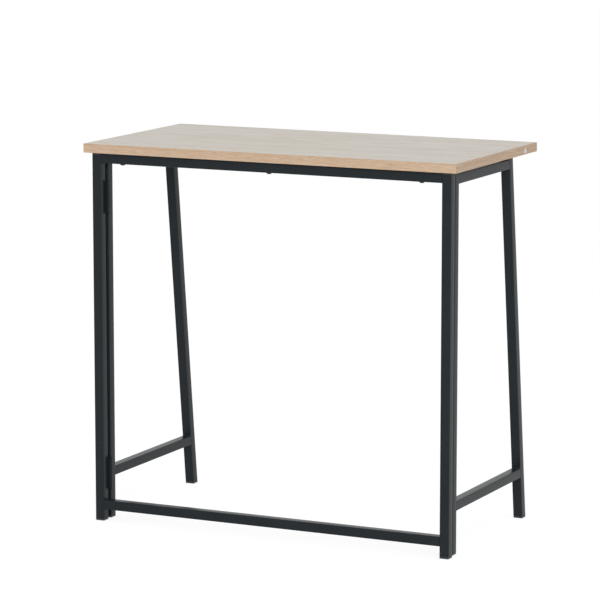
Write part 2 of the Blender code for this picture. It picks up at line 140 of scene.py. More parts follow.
# %% [markdown]
# ## Light and floor
# The picture is a plain studio shot on white. The white comes from the world and the floor as the camera and
# the reflections see them, at a strength of 1. What lights the desk is a softer grey world and one large
# lamp near the camera, so the worktop's front edge is brighter than its right edge. A brighter world could
# give the white too, but it would wash out the desk.

# %% Studio world
SKY_GREY = "#c4c6c7"
scene = bpy.context.scene
scene.view_settings.view_transform = "Standard"


def lit_or_seen(tree, lit, seen):
    """One shader to give light, and another where the camera, a reflection or clear material looks."""
    path = add_node(tree, "ShaderNodeLightPath", {}, {})
    rays = ("Is Camera Ray", "Is Glossy Ray", "Is Transmission Ray")
    looking = path.outputs[rays[0]]
    for ray in rays[1:]:
        either = {0: looking, 1: path.outputs[ray]}
        looking = add_node(tree, "ShaderNodeMath", {"operation": "MAXIMUM"}, either).outputs[0]
    choice = {0: looking, 1: lit.outputs[0], 2: seen.outputs[0]}
    return add_node(tree, "ShaderNodeMixShader", {}, choice).outputs[0]


world = bpy.data.worlds.new("studio")
world.use_nodes = True
scene.world = world
sky = world.node_tree
sky.nodes.clear()
grey_sky = add_node(sky, "ShaderNodeBackground", {}, {"Color": linear(SKY_GREY), "Strength": 1.0})
white_sky = add_node(sky, "ShaderNodeBackground", {}, {"Color": linear(WHITE), "Strength": 1.0})
add_node(sky, "ShaderNodeOutputWorld", {}, {"Surface": lit_or_seen(sky, grey_sky, white_sky)})
print("world", world.name)

# %% Soft lamp
LAMP_PLACE = Vector((2.6, -5.9, 3.0))
LAMP_SIZE = 4.0
LAMP_WATTS = 200.0
LAMP_TARGET = Vector((0.0, 0.0, 0.45))

lamp_data = bpy.data.lights.new("soft_box", "AREA")
lamp_data.shape = "DISK"
lamp_data.size = LAMP_SIZE
lamp_data.energy = LAMP_WATTS
lamp = bpy.data.objects.new("soft_box", lamp_data)
lamp.location = LAMP_PLACE
lamp.rotation_euler = (LAMP_TARGET - LAMP_PLACE).to_track_quat("-Z", "Y").to_euler()
scene.collection.objects.link(lamp)
print("lamp", LAMP_WATTS, "W")

# %% White floor
FLOOR_SIZE = 60.0
# Light meets matt paper. What is seen is a glow, and a darker matt part under it that takes the shadow.
FLOOR_MATT = "#dcdcdc"
FLOOR_SHADE = "#959595"
FLOOR_GLOW = 0.83

floor_bm = bmesh.new()
bmesh.ops.create_grid(floor_bm, x_segments=1, y_segments=1, size=FLOOR_SIZE / 2)
floor_mesh = bpy.data.meshes.new("floor")
floor_bm.to_mesh(floor_mesh)
floor_bm.free()
floor = bpy.data.objects.new("floor", floor_mesh)
scene.collection.objects.link(floor)

floor_finish = bpy.data.materials.new("white_studio_paper")
floor_finish.use_nodes = True
paper = floor_finish.node_tree
paper.nodes.clear()
matt = add_node(paper, "ShaderNodeBsdfDiffuse", {}, {"Color": linear(FLOOR_MATT)})
shade = add_node(paper, "ShaderNodeBsdfDiffuse", {}, {"Color": linear(FLOOR_SHADE)})
glow = add_node(paper, "ShaderNodeEmission", {}, {"Color": linear(WHITE), "Strength": FLOOR_GLOW})
pale = add_node(paper, "ShaderNodeAddShader", {}, {0: shade.outputs[0], 1: glow.outputs[0]})
add_node(paper, "ShaderNodeOutputMaterial", {}, {"Surface": lit_or_seen(paper, matt, pale)})
floor_mesh.materials.append(floor_finish)
print("floor", FLOOR_SIZE, "m")

# %% [markdown]
# ## Charcoal powder coat
# The tubes are mild steel, sprayed with a dry polyester powder that is baked until it flows together. That
# leaves a satin skin with a faint orange peel. A noise texture gives the peel, as bump and as a little
# unevenness in the gloss. It needs no unwrapping, as a picture of a coat would, and has no seams where tubes
# meet. Faces turned to the viewer stay dark, while those seen at a slant pick up the white studio.

# %% Powder coat
# Real orange peel is about 0.8 mm from hump to hump; it is drawn coarser here so that it shows.
PEEL_MM = 2.4
PEEL_HEIGHT_MM = 0.02
PEEL_STRENGTH = 0.5
# Slow clouds, where the powder lay thicker or thinner.
CLOUD_MM = 70.0
# Polyester has an IOR near 1.5. A lower one matches how little of the studio these dark tubes reflect.
COAT_IOR = 1.22
COAT_ROUGHNESS = 0.28
COAT_UNEVENNESS = 0.02
# Most of a noise texture's values lie in this span.
NOISE_SPAN = {"From Min": 0.3, "From Max": 0.7}


def charcoal_powder_coat():
    """Dark grey with slow clouds in its colour, and the peel in its gloss and relief."""
    coat, tree, shader, spot = new_finish("charcoal_powder_coat", COAT_ROUGHNESS, IOR=COAT_IOR)
    fine = {"Vector": spot, "Scale": 1 / (PEEL_MM * MM), "Detail": 2.0}
    peel = add_node(tree, "ShaderNodeTexNoise", {}, fine).outputs[0]
    slow = {"Vector": spot, "Scale": 1 / (CLOUD_MM * MM), "Detail": 3.0}
    cloud = add_node(tree, "ShaderNodeTexNoise", {}, slow).outputs[0]
    greys = {0: cloud, MIX_A: linear("#202528"), MIX_B: linear("#272d30")}
    colour = add_node(tree, "ShaderNodeMix", {"data_type": "RGBA"}, greys).outputs[MIX_COLOUR]
    sheen = {"To Min": COAT_ROUGHNESS - COAT_UNEVENNESS, "To Max": COAT_ROUGHNESS + COAT_UNEVENNESS}
    gloss = add_node(tree, "ShaderNodeMapRange", {}, {"Value": peel, **NOISE_SPAN, **sheen}).outputs[0]
    relief = {"Height": peel, "Strength": PEEL_STRENGTH, "Distance": PEEL_HEIGHT_MM * MM}
    humps = add_node(tree, "ShaderNodeBump", {}, relief).outputs[0]
    fill_inputs(tree, shader, {"Base Color": colour, "Roughness": gloss, "Normal": humps})
    return coat


powder_coat = charcoal_powder_coat()
print("finish", powder_coat.name)

# %% [markdown]
# ## Moulded plastics
# Feet and tube caps are injection moulded polyethylene, a waxy black plastic with the fine spark-eroded
# texture of its mould. It is a touch blacker and duller than the coat. The small cap in the board's edge is
# white ABS from a smoother mould. One noise drives colour, gloss and bump, because on a moulding the same
# grit causes all three.

# %% Moulded plastic
# The mould's grit is about 0.1 mm; it is drawn coarser here so that it shows.
GRIT_MM = 0.8
GRIT_HEIGHT_MM = 0.03
GRIT_STRENGTH = 0.4
GRIT_UNEVENNESS = 0.05
PLASTIC_IOR = 1.5


def moulded_plastic(name, dark, light, roughness):
    """Plastic between two close colours, with the grit of its mould."""
    plastic, tree, shader, spot = new_finish(name, roughness, IOR=PLASTIC_IOR)
    fine = {"Vector": spot, "Scale": 1 / (GRIT_MM * MM), "Detail": 1.0}
    grit = add_node(tree, "ShaderNodeTexNoise", {}, fine).outputs[0]
    tones = {0: grit, MIX_A: linear(dark), MIX_B: linear(light)}
    colour = add_node(tree, "ShaderNodeMix", {"data_type": "RGBA"}, tones).outputs[MIX_COLOUR]
    sheen = {"To Min": roughness - GRIT_UNEVENNESS, "To Max": roughness + GRIT_UNEVENNESS}
    gloss = add_node(tree, "ShaderNodeMapRange", {}, {"Value": grit, **NOISE_SPAN, **sheen}).outputs[0]
    relief = {"Height": grit, "Strength": GRIT_STRENGTH, "Distance": GRIT_HEIGHT_MM * MM}
    humps = add_node(tree, "ShaderNodeBump", {}, relief).outputs[0]
    fill_inputs(tree, shader, {"Base Color": colour, "Roughness": gloss, "Normal": humps})
    return plastic


black_plastic = moulded_plastic("black_moulded_polyethylene", "#1f2225", "#282b2e", 0.5)
white_plastic = moulded_plastic("white_moulded_abs", "#e9e7e2", "#f4f3ef", 0.35)
print("finishes", black_plastic.name, white_plastic.name)

# %% [markdown]
# ## Oak print
# The worktop is chipboard faced with melamine: a paper printed with oak grain and pressed in hard resin. The
# print has growth rings that run out in long arches, slow patches, broad bands, fibre streaks and short dark
# pores. One function paints those layers along X or along Y, each as noise of a real length and width, so no
# picture has to be fitted to the board. The faces have long calm streaks. The edge bands are cut from a
# livelier print, with short streaks, hardly any patches and no rings. The resin is smooth with a fine
# emboss, so at a slant it shows the white studio over the print, and from above the warm oak itself.

# %% Layers of the grain
# Each layer is its length and width in millimetres, and its share in the tone. Real fibres are well under
# 1 mm wide; their streaks are drawn wider here so that they show.
FACE_GRAIN = {"patch": (360.0, 120.0, 0.28), "band": (570.0, 26.0, 0.38), "fibre": (70.0, 2.4, 0.95)}
LONG_EDGE_GRAIN = {"patch": (360.0, 120.0, 0.05), "band": (500.0, 5.0, 0.20), "fibre": (24.0, 1.4, 0.52)}
SHORT_EDGE_GRAIN = {**LONG_EDGE_GRAIN, "fibre": (40.0, 1.4, 0.90)}
GRAIN_CONTRAST = 0.4
# Rings are drawn round a pith that lies under the board and slopes, so that they come out as arches.
PITH = Vector((0.0, 0.05, 0.70))
PITH_SLOPE = math.radians(5)
# Oak grows 2 to 4 mm in a year; its rings are drawn wider here so that they show.
RING_MM = 11.0
RING_SHARE = 0.12
RING_WANDER = 5.0
RING_STRETCH = 0.08
# At scale 1, the wave texture passes 20 radians in each unit of length.
WAVE_RADIANS = 20.0


def grain_layer(tree, spot, turn, along_mm, across_mm, detail):
    """Noise on the board, turned to the grain and stretched so that its patches have the given size."""
    size = (1 / (along_mm * MM), 1 / (across_mm * MM), 1 / (across_mm * MM))
    turned_spot = add_node(tree, "ShaderNodeMapping", {}, {"Vector": spot, "Rotation": (0.0, 0.0, turn)})
    place = add_node(tree, "ShaderNodeMapping", {}, {"Vector": turned_spot.outputs[0], "Scale": size})
    noise = {"Vector": place.outputs[0], "Scale": 1.0, "Detail": detail}
    return add_node(tree, "ShaderNodeTexNoise", {}, noise).outputs[0]


def growth_rings(tree, spot):
    """Rings round the sloping pith, whose wandering is drawn out along the grain."""
    near = add_node(tree, "ShaderNodeVectorMath", {"operation": "SUBTRACT"}, {0: spot, 1: PITH})
    slope = {"Vector": near.outputs[0], "Rotation": (0.0, PITH_SLOPE, 0.0)}
    sloped = add_node(tree, "ShaderNodeMapping", {}, slope)
    stretch = {"Vector": sloped.outputs[0], "Scale": (RING_STRETCH, 1.0, 1.0)}
    drawn = add_node(tree, "ShaderNodeMapping", {}, stretch)
    scale = 2 * math.pi / WAVE_RADIANS / (RING_MM * MM)
    waves = {"Vector": drawn.outputs[0], "Scale": scale, "Distortion": RING_WANDER}
    kind = {"wave_type": "RINGS", "rings_direction": "X"}
    return add_node(tree, "ShaderNodeTexWave", kind, waves).outputs["Fac"]


print("layers of the grain:", ", ".join(FACE_GRAIN))

# %% Printed oak and the edge bands
QUARTER = math.radians(90)
OAK_IOR = 1.5
# Light wood, dark wood and pores.
BAND_COLOURS = ("#dfc5aa", "#be9b7b", "#a4835f")
BAND_ROUGHNESS = 0.5
# Real pores are 0.3 mm wide; they are drawn wider here so that they show.
PORE_LENGTH_MM = 16.0
PORE_MM = 1.0
PORE_DEPTH_MM = 0.06
PORE_STRENGTH = 0.35
PORE_SHADE = 0.55
PORE_DULLNESS = 0.12
# Pores are the peaks of a noise: they start at the first level and are full at the second.
PORE_START = 0.6
PORE_FULL = 0.72


def oak_print(name, turn, grain, colours, roughness, ring_share=0.0):
    """Printed oak with its grain along X, or along Y after a quarter turn."""
    oak, tree, shader, spot = new_finish(name, roughness, IOR=OAK_IOR)
    light, dark, pore = [linear(colour) for colour in colours]
    tone = 0.0
    if ring_share:
        rings = {0: growth_rings(tree, spot), 1: ring_share}
        tone = add_node(tree, "ShaderNodeMath", {"operation": "MULTIPLY"}, rings).outputs[0]
    middle = ring_share / 2
    for along_mm, across_mm, share in grain.values():
        layer = grain_layer(tree, spot, turn, along_mm, across_mm, detail=2.0)
        sums = {0: layer, 1: share, 2: tone}
        tone = add_node(tree, "ShaderNodeMath", {"operation": "MULTIPLY_ADD"}, sums).outputs[0]
        middle += share / 2
    span = {"From Min": middle - GRAIN_CONTRAST / 2, "From Max": middle + GRAIN_CONTRAST / 2}
    spread = add_node(tree, "ShaderNodeMapRange", {}, {"Value": tone, **span}).outputs[0]
    woods = {0: spread, MIX_A: light, MIX_B: dark}
    wood = add_node(tree, "ShaderNodeMix", {"data_type": "RGBA"}, woods).outputs[MIX_COLOUR]
    pits = grain_layer(tree, spot, turn, PORE_LENGTH_MM, PORE_MM, detail=1.0)
    peaks = {"From Min": PORE_START, "From Max": PORE_FULL, "To Max": PORE_SHADE}
    pores = add_node(tree, "ShaderNodeMapRange", {}, {"Value": pits, **peaks}).outputs[0]
    inks = {0: pores, MIX_A: wood, MIX_B: pore}
    printed = add_node(tree, "ShaderNodeMix", {"data_type": "RGBA"}, inks).outputs[MIX_COLOUR]
    dulling = {"From Max": PORE_SHADE, "To Min": roughness, "To Max": roughness + PORE_DULLNESS}
    gloss = add_node(tree, "ShaderNodeMapRange", {}, {"Value": pores, **dulling}).outputs[0]
    relief = {"Height": pores, "Strength": PORE_STRENGTH, "Distance": PORE_DEPTH_MM * MM}
    emboss = add_node(tree, "ShaderNodeBump", {"invert": True}, relief).outputs[0]
    fill_inputs(tree, shader, {"Base Color": printed, "Roughness": gloss, "Normal": emboss})
    return oak, tree, shader, spot, printed


band_along_x = oak_print("oak_edge_band_along_x", 0.0, LONG_EDGE_GRAIN, BAND_COLOURS, BAND_ROUGHNESS)[0]
band_along_y = oak_print("oak_edge_band_along_y", QUARTER, SHORT_EDGE_GRAIN, BAND_COLOURS, BAND_ROUGHNESS)[0]
print("finishes", band_along_x.name, band_along_y.name)

# %% [markdown]
# ## Melamine-faced chipboard
# Only the two faces of the board carry the print. In the pockets for the hinges and in the screw holes the
# raw chipboard shows, pressed flakes of pine in brown glue. Two materials on one mesh could show that, but
# then each face has to be sorted. One material can tell them apart by height: the print is the outermost few
# hundredths of a millimetre.

# %% Board faces and core
BOARD_COLOURS = ("#d0c7b9", "#b29e81", "#99815f")
BOARD_ROUGHNESS = 0.28
FLAKE_MM = 3.0
PRINT_MM = 0.05
board_low, board_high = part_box("worktop_board")


def faced_chipboard():
    """The oak print on both faces of the board, and chipboard between them."""
    board, tree, shader, spot, printed = oak_print(
        "oak_melamine_on_chipboard", 0.0, FACE_GRAIN, BOARD_COLOURS, BOARD_ROUGHNESS, RING_SHARE
    )
    flakes = add_node(tree, "ShaderNodeTexVoronoi", {}, {"Vector": spot, "Scale": 1 / (FLAKE_MM * MM)})
    tone = add_node(tree, "ShaderNodeSeparateColor", {}, {0: flakes.outputs["Color"]}).outputs[0]
    pines = {0: tone, MIX_A: linear("#b58f62"), MIX_B: linear("#d8b98c")}
    core = add_node(tree, "ShaderNodeMix", {"data_type": "RGBA"}, pines).outputs[MIX_COLOUR]
    height = add_node(tree, "ShaderNodeSeparateXYZ", {}, {0: spot}).outputs[2]
    middle = (board_low.z + board_high.z) / 2
    offset = add_node(tree, "ShaderNodeMath", {"operation": "SUBTRACT"}, {0: height, 1: middle}).outputs[0]
    depth = add_node(tree, "ShaderNodeMath", {"operation": "ABSOLUTE"}, {0: offset}).outputs[0]
    inside = (board_high.z - board_low.z) / 2 - PRINT_MM * MM
    raw = add_node(tree, "ShaderNodeMath", {"operation": "LESS_THAN"}, {0: depth, 1: inside}).outputs[0]
    layers = {0: raw, MIX_A: printed, MIX_B: core}
    surface = add_node(tree, "ShaderNodeMix", {"data_type": "RGBA"}, layers).outputs[MIX_COLOUR]
    fill_inputs(tree, shader, {"Base Color": surface})
    return board


melamine = faced_chipboard()
print("finish", melamine.name)

# %% [markdown]
# ## Blackened steel and zinc plate
# Hinge pins and bolts are black oxide steel, an oiled black metal with a low shine. The wood screws are zinc
# plated: pale, bright and slightly uneven where the plating took. Both are a metal whose colour and gloss
# vary with one noise, so one function makes them. Bump would be lost on pieces this small.

# %% Metals
# Real scuffs are a few tenths of a millimetre wide; they are drawn coarser here so that they show.
SCUFF_MM = 1.5
SCUFF_SHINE = 0.06
SCUFF_DULLNESS = 0.08


def plated_steel(name, dark, light, roughness):
    """Metal between two close colours, with shinier and duller scuffs."""
    steel, tree, shader, spot = new_finish(name, roughness, Metallic=1.0)
    fine = {"Vector": spot, "Scale": 1 / (SCUFF_MM * MM), "Detail": 3.0}
    scuff = add_node(tree, "ShaderNodeTexNoise", {}, fine).outputs[0]
    tones = {0: scuff, MIX_A: linear(dark), MIX_B: linear(light)}
    colour = add_node(tree, "ShaderNodeMix", {"data_type": "RGBA"}, tones).outputs[MIX_COLOUR]
    sheen = {"To Min": roughness - SCUFF_SHINE, "To Max": roughness + SCUFF_DULLNESS}
    gloss = add_node(tree, "ShaderNodeMapRange", {}, {"Value": scuff, **NOISE_SPAN, **sheen}).outputs[0]
    fill_inputs(tree, shader, {"Base Color": colour, "Roughness": gloss})
    return steel


black_steel = plated_steel("black_oxide_steel", "#2a2b2d", "#3a3b3d", 0.42)
zinc_steel = plated_steel("zinc_plated_steel", "#b9bcbf", "#d2d4d5", 0.3)
print("finishes", black_steel.name, zinc_steel.name)

# %% [markdown]
# ## Worktop
# The board and its four edge bands already have the right shape, so they stay and only take a finish. The
# front and back bands have grain along X, and the left and right ones along Y.

# %% Finish the worktop
for node, finish in (
    ("worktop_board", melamine),
    ("worktop_band_front", band_along_x),
    ("worktop_band_back", band_along_x),
    ("worktop_band_left", band_along_y),
    ("worktop_band_right", band_along_y),
):
    nodes[node].data.materials.clear()
    nodes[node].data.materials.append(finish)
print("worktop", [round(value / MM) for value in board_high - board_low], "mm")

# %% [markdown]
# ## Lofts
# Tubes, plugs, pins and bolts can all be made in one way: a row of rings with the same number of points,
# joined by faces. A ring is drawn flat, as points across and over, and then put in its place. Where the last
# ring joins the first, the loft closes on itself, as a tube's wall does. Otherwise both ends are capped.
# Extruded and bevelled cubes would do for most pieces, but not for sloped ends, fins and domes alike.

# %% Loft helpers
SHARP_ANGLE = math.radians(35)
CORNER_STEPS = 6


def arc(centre, radius, start, end, steps):
    """Points on a circle from one angle to another, both ends included."""
    angles = [start + (end - start) * i / steps for i in range(steps + 1)]
    return [(centre[0] + radius * math.cos(a), centre[1] + radius * math.sin(a)) for a in angles]


def rounded_rectangle(width, depth, radius):
    """Points round a rectangle with round corners, centred on the origin."""
    points = []
    for i, (sx, sy) in enumerate(((1, 1), (-1, 1), (-1, -1), (1, -1))):
        centre = (sx * (width / 2 - radius), sy * (depth / 2 - radius))
        points += arc(centre, radius, i * QUARTER, (i + 1) * QUARTER, CORNER_STEPS)
    return points


def loft(bm, rings, closed=False):
    """Joins rings of 3-D points with faces, and caps both ends unless the loft closes on itself."""
    loops = [[bm.verts.new(point) for point in ring] for ring in rings]
    pairs = list(zip(loops, loops[1:]))
    if closed:
        pairs.append((loops[-1], loops[0]))
    else:
        bm.faces.new(loops[0])
        bm.faces.new(loops[-1])
    for low, high in pairs:
        for i in range(len(low)):
            j = (i + 1) % len(low)
            bm.faces.new((low[i], low[j], high[j], high[i]))


def smooth(mesh):
    """Shades a mesh smooth on round stretches and sharp at corners."""
    mesh.shade_smooth()
    mesh.set_sharp_from_angle(angle=SHARP_ANGLE)


def as_piece(bm, name):
    """Turns finished mesh data into an object."""
    bmesh.ops.recalc_face_normals(bm, faces=bm.faces)
    mesh = bpy.data.meshes.new(name)
    bm.to_mesh(mesh)
    bm.free()
    smooth(mesh)
    piece = bpy.data.objects.new(name, mesh)
    scene.collection.objects.link(piece)
    return piece


def lofted(name, rings, closed=False):
    """A piece that is one loft."""
    bm = bmesh.new()
    loft(bm, rings, closed)
    return as_piece(bm, name)


print("a rounded rectangle has", len(rounded_rectangle(1.0, 1.0, 0.1)), "points round")

# %% Pieces that stand in for solids
FINISH_OF_SLOT = {
    "frame_powder_coat": powder_coat,
    "plug_plastic": black_plastic,
    "pin_black_steel": black_steel,
    "zinc_screw": zinc_steel,
    "white_plastic": white_plastic,
}


def stand_in(piece, node):
    """Gives a piece its finish and sets it on its body in place of a plain solid."""
    slot = slot_of_node[node]
    piece.data.materials.clear()
    piece.data.materials.append(FINISH_OF_SLOT[slot])
    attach(piece, body_of_node[node])
    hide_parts(node)
    return piece


print(len(FINISH_OF_SLOT), "finishes for pieces that stand in")

# %% [markdown]
# ## Square tubes
# The frame is 19 mm square tube with a wall of 1.2 mm. Its corners are rolled, so they catch a thin line of
# light. Each tube is lofted from four rings: outside at both ends and inside at both ends. Rails are drawn
# until they touch the posts and legs that they are welded to. The slanted legs are cut level, and the back
# ends of the side rails follow the leg's slope. A loft gives such ends at once, where an extruded square
# would have to be trimmed.

# %% Uprights and slanted legs
TUBE_WALL = 1.2 * MM
TUBE_CORNER = 1.2 * MM
BORE_CORNER = 0.6 * MM
SAME_LEVEL = 0.01 * MM
SIDES = ("left", "right")


def tube(name, width, depth, place):
    """A tube whose place function puts a point (across, over) of its section at its start 0 or end 1."""
    outside = rounded_rectangle(width, depth, TUBE_CORNER)
    inside = rounded_rectangle(width - 2 * TUBE_WALL, depth - 2 * TUBE_WALL, BORE_CORNER)
    order = ((outside, 0), (outside, 1), (inside, 1), (inside, 0))
    rings = [[place(across, over, end) for across, over in ring] for ring, end in order]
    return lofted(name, rings, closed=True)


def level_ends(node):
    """The middles of an upright's level ends, bottom and top, and its depth on a level cut."""
    low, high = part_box(node)
    points = [vertex.co for vertex in nodes[node].data.vertices]
    ends = []
    for height in (low.z, high.z):
        row = [point.y for point in points if abs(point.z - height) < SAME_LEVEL]
        ends.append(Vector(((low.x + high.x) / 2, (min(row) + max(row)) / 2, height)))
    depth = max(row) - min(row)
    return ends[0], ends[1], depth


def upright(node):
    """A post or a slanted leg, between the middles of its level ends."""
    low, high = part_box(node)
    bottom, top, depth = level_ends(node)

    def place(across, over, end):
        return (bottom, top)[end] + Vector((across, over, 0.0))

    stand_in(tube(f"{node}_tube", high.x - low.x, depth, place), node)


uprights = [f"main_post_{side}" for side in SIDES]
uprights += [f"{side}_{kind}" for side in SIDES for kind in ("side_post", "slanted_leg")]
for node in uprights:
    upright(node)

leg_bottom, leg_top, leg_depth = level_ends("left_slanted_leg")
LEG_SLOPE = (leg_top.y - leg_bottom.y) / (leg_top.z - leg_bottom.z)
print(len(uprights), "uprights, leg slope", round(math.degrees(math.atan(LEG_SLOPE)), 1), "degrees")

# %% Cutting and turning
TURN_STEPS = 40
# How far a cutter passes its work.
OVERCUT = 1.0 * MM


def cut(piece, cutter):
    """Cuts one object out of another for good, and removes the cutter."""
    boolean = piece.modifiers.new("cut", "BOOLEAN")
    boolean.operation = "DIFFERENCE"
    boolean.object = cutter
    graph = bpy.context.evaluated_depsgraph_get()
    mesh = bpy.data.meshes.new_from_object(piece.evaluated_get(graph))
    piece.modifiers.clear()
    piece.data = mesh
    bpy.data.objects.remove(cutter, do_unlink=True)
    smooth(mesh)


def turned(name, profile, place):
    """A turned piece from (radius, height) points, with place putting its axis where it belongs."""
    ways = [2 * math.pi * i / TURN_STEPS for i in range(TURN_STEPS)]
    rings = [[place @ Vector((r * math.cos(w), r * math.sin(w), h)) for w in ways] for r, h in profile]
    return lofted(name, rings)


print("turned pieces have", TURN_STEPS, "sides")

# %% Rails of the main frame
BOLT = 6.0 * MM
BOLT_PLAY = 0.3 * MM
BOLT_ROOM = BOLT / 2 + BOLT_PLAY
WHERE = ("left", "middle", "right")
post_inner = {"left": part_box("main_post_left")[1].x, "right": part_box("main_post_right")[0].x}


def cross_rail(node):
    """A rail from post to post."""
    low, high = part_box(node)
    middle = (low + high) / 2

    def place(across, over, end):
        return Vector((post_inner[SIDES[end]], middle.y + across, middle.z + over))

    return stand_in(tube(f"{node}_tube", high.y - low.y, high.z - low.z, place), node)


cross_rail("main_bottom_rail")
top_rail = cross_rail("main_top_rail")
rail_low, rail_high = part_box("main_top_rail")
for where in WHERE:
    bolt_low, bolt_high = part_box(f"top_{where}_hinge_bolt")
    bolt_axis = Matrix.Translation(((bolt_low.x + bolt_high.x) / 2, (rail_low.y + rail_high.y) / 2, 0.0))
    hole = [(BOLT_ROOM, rail_low.z - OVERCUT), (BOLT_ROOM, rail_high.z + OVERCUT)]
    cut(top_rail, turned("bolt_hole", hole, bolt_axis))
print("2 cross rails", round((post_inner["right"] - post_inner["left"]) / MM), "mm long")

# %% Rails of the side frames
def leg_front(height):
    """Where the front faces of the slanted legs are at a height."""
    return leg_bottom.y - leg_depth / 2 + LEG_SLOPE * (height - leg_bottom.z)


def side_rail(side, kind):
    """A rail from a side post to its slanted leg."""
    node = f"{side}_side_{kind}_rail"
    low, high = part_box(node)
    middle = (low + high) / 2
    post_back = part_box(f"{side}_side_post")[1].y

    def place(across, over, end):
        height = middle.z + over
        return Vector((middle.x + across, leg_front(height) if end else post_back, height))

    stand_in(tube(f"{node}_tube", high.x - low.x, high.z - low.z, place), node)


for side in SIDES:
    for kind in ("top", "lower"):
        side_rail(side, kind)
print("4 side rails")

# %% [markdown]
# ## Plugs
# Each open tube end is closed by a moulded plug: a head as wide as the tube, and a spigot with thin fins
# that grip the bore. The head's outer edge is rounded, so a foot meets the floor with a thin shadow. A plug
# is one loft of rounded rectangles, wider and narrower as it goes up, so head and fins stay one piece as
# they do in a mould. Those of the slanted legs lean with their leg.

# %% Feet and tube caps
PLUG_ROUNDING = 0.6 * MM
ROUNDING_STEPS = 5
PLUG_PLAY = 0.3 * MM
FIN_COUNT = 4
FIN_PITCH = 3.0 * MM
FIN_THICKNESS = 0.8 * MM
FIN_DEPTH = 1.1 * MM


def plug_rings(head, spigot):
    """Pairs of (inset, height) from a plug's outer face, round its edge, past the head and up the fins."""
    centre = (PLUG_ROUNDING, PLUG_ROUNDING)
    rings = arc(centre, PLUG_ROUNDING, -QUARTER, -2 * QUARTER, ROUNDING_STEPS)
    grip = TUBE_WALL + PLUG_PLAY
    core = grip + FIN_DEPTH
    rings += [(0.0, head), (core, head)]
    for fin in range(1, FIN_COUNT + 1):
        middle = head + FIN_PITCH * fin
        for inset, edge in ((core, -1), (grip, -1), (grip, 1), (core, 1)):
            rings.append((inset, middle + edge * FIN_THICKNESS / 2))
    rings.append((core, head + spigot))
    return rings


def plug(node, tube_node, upwards):
    """A foot that goes up into its tube, or a cap that goes down into it."""
    low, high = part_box(node)
    bottom, top, depth = level_ends(tube_node)
    width = high.x - low.x
    slope = (top.y - bottom.y) / (top.z - bottom.z)
    tube_end = bottom.z if upwards else top.z
    outer = low.z if upwards else high.z
    inner = high.z if upwards else low.z
    rings = []
    for inset, rise in plug_rings(abs(tube_end - outer) - PLUG_PLAY, abs(inner - tube_end)):
        height = outer + rise if upwards else outer - rise
        middle = Vector((bottom.x, bottom.y + slope * (height - bottom.z), height))
        corner = max(TUBE_CORNER - inset, BORE_CORNER / 2)
        section = rounded_rectangle(width - 2 * inset, depth - 2 * inset, corner)
        rings.append([middle + Vector((across, over, 0.0)) for across, over in section])
    stand_in(lofted(f"{node}_plug", rings), node)


for side in SIDES:
    for foot, cap, tube_node in (
        (f"main_foot_{side}", f"main_post_cap_{side}", f"main_post_{side}"),
        (f"{side}_side_post_foot", f"{side}_side_post_cap", f"{side}_side_post"),
        (f"{side}_leg_foot", f"{side}_leg_cap", f"{side}_slanted_leg"),
    ):
        plug(foot, tube_node, upwards=True)
        plug(cap, tube_node, upwards=False)
print("12 plugs with", FIN_COUNT, "fins each")

# %% [markdown]
# ## Hinges
# Each leaf is a strip of sheet steel whose edge is rolled round the pin. That section is drawn flat: along
# the strip, round the outside of the roll, and back round its bore, with a slit where the roll ends. It is
# lofted along the pin, and gaps are cut in the roll for the knuckles of the other leaf. A plain cylinder on
# a plate would be quicker, but it hides how the sheet is rolled, which shows at the ends. The side hinges
# stand upright between the posts. The top hinges lie along the rail, under the board. Each hinge is written
# down by its length, the radius of its roll, the reach and thickness of its leaves, how near they lie to the
# plane of the pin's axis, and the place of the pin.

# %% Rolled leaves and pins
LEAF_PLAY = 0.3 * MM
ROLL_SLIT = 0.4 * MM
ROLL_STEPS = 28
KNUCKLES = 3
PIN_PLAY = 0.15 * MM
PIN_HEAD = 1.2 * MM
PIN_HEAD_LIP = 0.8 * MM
DOME_STEPS = 5
DOME_END = math.radians(75)


def rolled_section(hinge):
    """A leaf seen along its pin, with the strip along +X and above the pin's axis."""
    radius = hinge["radius"]
    near = hinge["near"]
    far = near + hinge["leaf"]
    bore = radius - hinge["leaf"] + PIN_PLAY
    end = 2 * math.pi + math.asin(near / radius) - ROLL_SLIT / radius
    outside = arc((0.0, 0.0), radius, math.asin(far / radius), end, ROLL_STEPS)
    inside = arc((0.0, 0.0), bore, end, math.asin(near / bore), ROLL_STEPS)
    return [(hinge["reach"], near), (hinge["reach"], far), *outside, *inside]


def rolled_leaf(node, hinge, over, gaps):
    """A leaf above (1) or below (-1) the pin's axis, without its roll between the ends of each gap."""
    half = hinge["length"] / 2
    section = rolled_section(hinge)
    rings = [[hinge["place"] @ Vector((x, over * y, z)) for x, y in section] for z in (-half, half)]
    piece = lofted(f"{node}_rolled", rings)
    room = hinge["radius"] + LEAF_PLAY
    for low, high in gaps:
        cut(piece, turned("knuckle_gap", [(room, low), (room, high)], hinge["place"]))
    return stand_in(piece, node)


def dome(radius, height, base):
    """Points (radius, height) of a rounded head, from its rim to a small flat."""
    turns = [DOME_END * i / DOME_STEPS for i in range(DOME_STEPS + 1)]
    return [(radius * math.cos(t), base + height * math.sin(t)) for t in turns]


def hinge_pin(node, hinge):
    """A pin with a bevelled tip below and a domed head above."""
    shank = hinge["radius"] - hinge["leaf"]
    lip = shank + PIN_HEAD_LIP
    half = hinge["length"] / 2
    head = half + LEAF_PLAY
    profile = [(shank - PIN_PLAY, -half), (shank, -half + PIN_PLAY), (shank, head), (lip, head)]
    profile += dome(lip, PIN_HEAD, head + PIN_PLAY)
    stand_in(turned(f"{node}_domed", profile, hinge["place"]), node)


